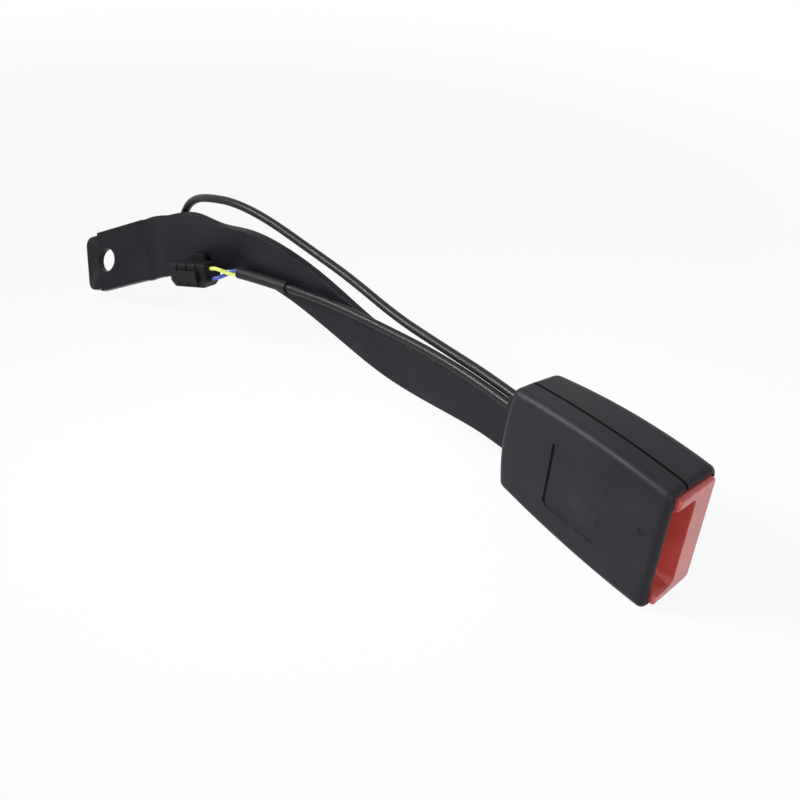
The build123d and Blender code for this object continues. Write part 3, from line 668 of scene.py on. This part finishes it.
forward = Vector((
    -math.sin(CAMERA_AZIMUTH) * math.cos(CAMERA_ELEVATION),
    math.cos(CAMERA_AZIMUTH) * math.cos(CAMERA_ELEVATION),
    -math.sin(CAMERA_ELEVATION),
))
sideways = Vector((math.cos(CAMERA_AZIMUTH), math.sin(CAMERA_AZIMUTH), 0))
above = sideways.cross(forward)
right = sideways * math.cos(CAMERA_ROLL) + above * math.sin(CAMERA_ROLL)
up = right.cross(forward)
camera = bpy.data.objects.new("camera", bpy.data.cameras.new("camera"))
camera.data.lens = LENS
camera.data.sensor_width = SENSOR_WIDTH
camera_turn = Matrix((right, up, -forward)).transposed().to_4x4()
camera.matrix_world = Matrix.Translation(CAMERA_PLACE) @ camera_turn
scene.collection.objects.link(camera)
scene.camera = camera

# the floor leans so that the head's lower edge and the anchor plate both rest on it
floor_up = Vector((-math.sin(FLOOR_TILT), 0, math.cos(FLOOR_TILT)))
lowest = min(
    (node.matrix_world @ vertex.co).dot(floor_up)
    for node in nodes.values()
    for vertex in node.data.vertices
)


def seen_directly(tree):
    """1 where the camera, a mirror or a clear piece looks straight at it."""
    path = place_node(tree, "ShaderNodeLightPath")
    camera_ray, glossy_ray, clear_ray = (
        path.outputs["Is %s Ray" % kind] for kind in ("Camera", "Glossy", "Transmission")
    )
    seen = sum_of(tree, "MAXIMUM", camera_ray, glossy_ray)
    return sum_of(tree, "MAXIMUM", seen, clear_ray)


def floor_material():
    """Pale floor that keeps the object's shadow and turns white away from it."""
    made = bpy.data.materials.new("studio_floor")
    made.use_nodes = True
    tree = made.node_tree
    tree.nodes.clear()
    matt = place_node(tree, "ShaderNodeBsdfDiffuse")
    matt.inputs["Color"].default_value = FLOOR_COLOUR
    glow = place_node(tree, "ShaderNodeEmission")
    glow.inputs["Color"].default_value = WHITE
    white = place_node(tree, "ShaderNodeMixShader")
    far = place_node(tree, "ShaderNodeVectorMath", operation="LENGTH")
    feed(tree, far.inputs[0], stretched(tree, EVEN))
    paleness = remap(tree, far.outputs["Value"], *SHADOW_SPAN, *WHITENESS)
    feed(tree, white.inputs[0], paleness)
    tree.links.new(matt.outputs[0], white.inputs[1])
    tree.links.new(glow.outputs[0], white.inputs[2])
    choice = place_node(tree, "ShaderNodeMixShader")
    feed(tree, choice.inputs[0], seen_directly(tree))
    tree.links.new(matt.outputs[0], choice.inputs[1])
    tree.links.new(white.outputs[0], choice.inputs[2])
    end = place_node(tree, "ShaderNodeOutputMaterial")
    tree.links.new(choice.outputs[0], end.inputs["Surface"])
    return made


def build_floor():
    """Large leaning floor plane under the lowest point of the object."""
    half = FLOOR_SIZE / 2
    mesh = bpy.data.meshes.new("floor")
    corners = [(-half, -half, 0), (half, -half, 0), (half, half, 0), (-half, half, 0)]
    mesh.from_pydata(corners, [], [(0, 1, 2, 3)])
    mesh.materials.append(floor_material())
    lean = Matrix.Rotation(-FLOOR_TILT, 4, "Y")
    mesh.transform(Matrix.Translation(floor_up * (lowest - FLOOR_GAP)) @ lean)
    made = bpy.data.objects.new("floor", mesh)
    scene.collection.objects.link(made)


def area_light(name, place, target, size, power, spread):
    """Soft rectangular lamp that looks at a point."""
    lamp = bpy.data.lights.new(name, "AREA")
    lamp.shape = "RECTANGLE"
    lamp.size, lamp.size_y = size
    lamp.energy = power
    lamp.spread = math.radians(spread)
    made = bpy.data.objects.new(name, lamp)
    made.location = place
    aim = Vector(target) - Vector(place)
    made.rotation_euler = aim.to_track_quat("-Z", "Y").to_euler()
    scene.collection.objects.link(made)


def build_world():
    """Even grey light, white where it is looked at."""
    world = bpy.data.worlds.new("studio")
    world.use_nodes = True
    tree = world.node_tree
    back = tree.nodes["Background"]
    strength = remap(tree, seen_directly(tree), 0.0, 1.0, WORLD_LIGHT, 1.0)
    feed(tree, back.inputs["Strength"], strength)
    back.inputs["Color"].default_value = WHITE
    scene.world = world


HEAD_MIDDLE = (0.215, 0.03, 0.03)
OBJECT_MIDDLE = (0.15, 0.03, 0.03)
# place, what it looks at, its two sides, its power in watts, its beam in degrees
LAMPS = {
    "softbox_key": ((-0.13, -0.36, 0.38), HEAD_MIDDLE, (0.2, 0.2), 0.42, 45),
    "softbox_above": ((0.1, 0.1, 1.2), OBJECT_MIDDLE, (0.9, 0.7), 0.4, 180),
    "softbox_end": ((1.1, -0.3, 0.3), OBJECT_MIDDLE, (0.5, 0.5), 4.5, 180),
}
build_floor()
build_world()
for lamp_name, setting in LAMPS.items():
    area_light(lamp_name, *setting)
scene.view_settings.view_transform = "Standard"
